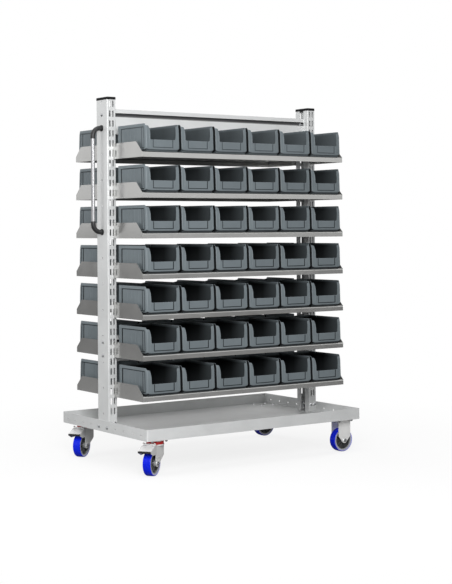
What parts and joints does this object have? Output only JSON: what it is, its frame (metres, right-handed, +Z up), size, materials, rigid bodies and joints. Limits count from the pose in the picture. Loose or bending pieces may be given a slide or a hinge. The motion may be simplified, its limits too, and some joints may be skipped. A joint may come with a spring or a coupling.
{
  "type": "mobile bin cart",
  "caption": "Double-sided mobile bin cart: slotted uprights on a castored tray deck carry hooked shelves of open-fronted parts bins, with a push handle and swivel brakes.",
  "frame": {"origin": "on the floor under the middle of the whole cart's box, handle and pedals included", "axes": "+X along the deck away from the handle, -Y towards the front shelves, +Z up"},
  "size_m": [1.4046, 0.878, 1.8695],
  "materials": {
    "painted_frame": "light grey powder coat, satin",
    "shelf_sheet": "silver grey coat, semi-gloss",
    "bin_plastic": "blue-grey moulded polypropylene, satin",
    "black_plastic": "black moulded plastic",
    "handle_tube": "anodised, satin",
    "zinc": "bright zinc plate",
    "castor_zinc": "zinc-plated pressed steel",
    "pedal_steel": "zinc plate with a black tread",
    "seal_red": "red moulded seal ring",
    "hub_plastic": "grey moulded nylon",
    "tyre_blue": "blue polyurethane, semi-gloss"
  },
  "bodies": {
    "frame": {"deck_tray": "painted_frame", "deck_rims": "painted_frame", "left_upright": "painted_frame", "right_upright": "painted_frame", "upright_caps": "black_plastic", "top_beam": "painted_frame", "lower_beam": "painted_frame", "frame_bolts": "zinc", "foot_brackets": "zinc", "foot_bolts": "zinc", "handle_tube": "handle_tube", "handle_elbows": "black_plastic", "castor_bolts": "zinc", "swivel_plates": "castor_zinc", "swivel_rings": "seal_red", "kingpins": "zinc", "fixed_forks": "castor_zinc", "fixed_axles": "zinc", "front_shelf_1": "shelf_sheet", "front_shelf_2": "shelf_sheet", "front_shelf_3": "shelf_sheet", "front_shelf_4": "shelf_sheet", "front_shelf_5": "shelf_sheet", "front_shelf_6": "shelf_sheet", "front_shelf_7": "shelf_sheet", "rear_shelf_1": "shelf_sheet", "rear_shelf_2": "shelf_sheet", "rear_shelf_3": "shelf_sheet", "rear_shelf_4": "shelf_sheet", "rear_shelf_5": "shelf_sheet", "rear_shelf_6": "shelf_sheet", "rear_shelf_7": "shelf_sheet"},
    "front_bin_row_1": {"front_bins_1": "bin_plastic"},
    "front_bin_row_2": {"front_bins_2": "bin_plastic"},
    "front_bin_row_3": {"front_bins_3": "bin_plastic"},
    "front_bin_row_4": {"front_bins_4": "bin_plastic"},
    "front_bin_row_5": {"front_bins_5": "bin_plastic"},
    "front_bin_row_6": {"front_bins_6": "bin_plastic"},
    "front_bin_row_7": {"front_bins_7": "bin_plastic"},
    "front_swivel": {"front_swivel_fork": "castor_zinc", "front_swivel_axle": "zinc"},
    "front_swivel_wheel": {"front_swivel_hub": "hub_plastic", "front_swivel_tyre": "tyre_blue"},
    "front_fixed_wheel": {"front_fixed_hub": "hub_plastic", "front_fixed_tyre": "tyre_blue"},
    "front_brake_pedal": {"front_pedal": "pedal_steel"},
    "rear_bin_row_1": {"rear_bins_1": "bin_plastic"},
    "rear_bin_row_2": {"rear_bins_2": "bin_plastic"},
    "rear_bin_row_3": {"rear_bins_3": "bin_plastic"},
    "rear_bin_row_4": {"rear_bins_4": "bin_plastic"},
    "rear_bin_row_5": {"rear_bins_5": "bin_plastic"},
    "rear_bin_row_6": {"rear_bins_6": "bin_plastic"},
    "rear_bin_row_7": {"rear_bins_7": "bin_plastic"},
    "rear_swivel": {"rear_swivel_fork": "castor_zinc", "rear_swivel_axle": "zinc"},
    "rear_swivel_wheel": {"rear_swivel_hub": "hub_plastic", "rear_swivel_tyre": "tyre_blue"},
    "rear_fixed_wheel": {"rear_fixed_hub": "hub_plastic", "rear_fixed_tyre": "tyre_blue"},
    "rear_brake_pedal": {"rear_pedal": "pedal_steel"}
  },
  "joints": [
    {"name": "front_bin_row_1_pull", "type": "slide", "parent": "frame", "child": "front_bin_row_1", "axis": [0, -0.9962, 0.0872], "range_m": [0, 0.27]},
    {"name": "front_bin_row_2_pull", "type": "slide", "parent": "frame", "child": "front_bin_row_2", "axis": [0, -0.9962, 0.0872], "range_m": [0, 0.27]},
    {"name": "front_bin_row_3_pull", "type": "slide", "parent": "frame", "child": "front_bin_row_3", "axis": [0, -0.9962, 0.0872], "range_m": [0, 0.27]},
    {"name": "front_bin_row_4_pull", "type": "slide", "parent": "frame", "child": "front_bin_row_4", "axis": [0, -0.9962, 0.0872], "range_m": [0, 0.27]},
    {"name": "front_bin_row_5_pull", "type": "slide", "parent": "frame", "child": "front_bin_row_5", "axis": [0, -0.9962, 0.0872], "range_m": [0, 0.27]},
    {"name": "front_bin_row_6_pull", "type": "slide", "parent": "frame", "child": "front_bin_row_6", "axis": [0, -0.9962, 0.0872], "range_m": [0, 0.27]},
    {"name": "front_bin_row_7_pull", "type": "slide", "parent": "frame", "child": "front_bin_row_7", "axis": [0, -0.9962, 0.0872], "range_m": [0, 0.27]},
    {"name": "front_castor_swivel", "type": "hinge", "parent": "frame", "child": "front_swivel", "pos_m": [-0.54875, -0.338, 0.16], "axis": [0, 0, 1], "continuous": true},
    {"name": "front_swivel_wheel_spin", "type": "hinge", "parent": "front_swivel", "child": "front_swivel_wheel", "pos_m": [-0.5844, -0.36205, 0.0625], "axis": [-0.5592, 0.829, 0], "continuous": true},
    {"name": "front_fixed_wheel_spin", "type": "hinge", "parent": "frame", "child": "front_fixed_wheel", "pos_m": [0.62825, -0.338, 0.0625], "axis": [0, 1, 0], "continuous": true},
    {"name": "front_brake_press", "type": "hinge", "parent": "front_swivel", "child": "front_brake_pedal", "pos_m": [-0.60678, -0.37715, 0.155], "axis": [0.5592, -0.829, 0], "range_deg": [0, 10]},
    {"name": "rear_bin_row_1_pull", "type": "slide", "parent": "frame", "child": "rear_bin_row_1", "axis": [0, 0.9962, 0.0872], "range_m": [0, 0.27]},
    {"name": "rear_bin_row_2_pull", "type": "slide", "parent": "frame", "child": "rear_bin_row_2", "axis": [0, 0.9962, 0.0872], "range_m": [0, 0.27]},
    {"name": "rear_bin_row_3_pull", "type": "slide", "parent": "frame", "child": "rear_bin_row_3", "axis": [0, 0.9962, 0.0872], "range_m": [0, 0.27]},
    {"name": "rear_bin_row_4_pull", "type": "slide", "parent": "frame", "child": "rear_bin_row_4", "axis": [0, 0.9962, 0.0872], "range_m": [0, 0.27]},
    {"name": "rear_bin_row_5_pull", "type": "slide", "parent": "frame", "child": "rear_bin_row_5", "axis": [0, 0.9962, 0.0872], "range_m": [0, 0.27]},
    {"name": "rear_bin_row_6_pull", "type": "slide", "parent": "frame", "child": "rear_bin_row_6", "axis": [0, 0.9962, 0.0872], "range_m": [0, 0.27]},
    {"name": "rear_bin_row_7_pull", "type": "slide", "parent": "frame", "child": "rear_bin_row_7", "axis": [0, 0.9962, 0.0872], "range_m": [0, 0.27]},
    {"name": "rear_castor_swivel", "type": "hinge", "parent": "frame", "child": "rear_swivel", "pos_m": [-0.54875, 0.362, 0.16], "axis": [0, 0, 1], "continuous": true},
    {"name": "rear_swivel_wheel_spin", "type": "hinge", "parent": "rear_swivel", "child": "rear_swivel_wheel", "pos_m": [-0.5844, 0.33795, 0.0625], "axis": [-0.5592, 0.829, 0], "continuous": true},
    {"name": "rear_fixed_wheel_spin", "type": "hinge", "parent": "frame", "child": "rear_fixed_wheel", "pos_m": [0.62825, 0.362, 0.0625], "axis": [0, 1, 0], "continuous": true},
    {"name": "rear_brake_press", "type": "hinge", "parent": "rear_swivel", "child": "rear_brake_pedal", "pos_m": [-0.60678, 0.32285, 0.155], "axis": [0.5592, -0.829, 0], "range_deg": [0, 10]}
  ]
}
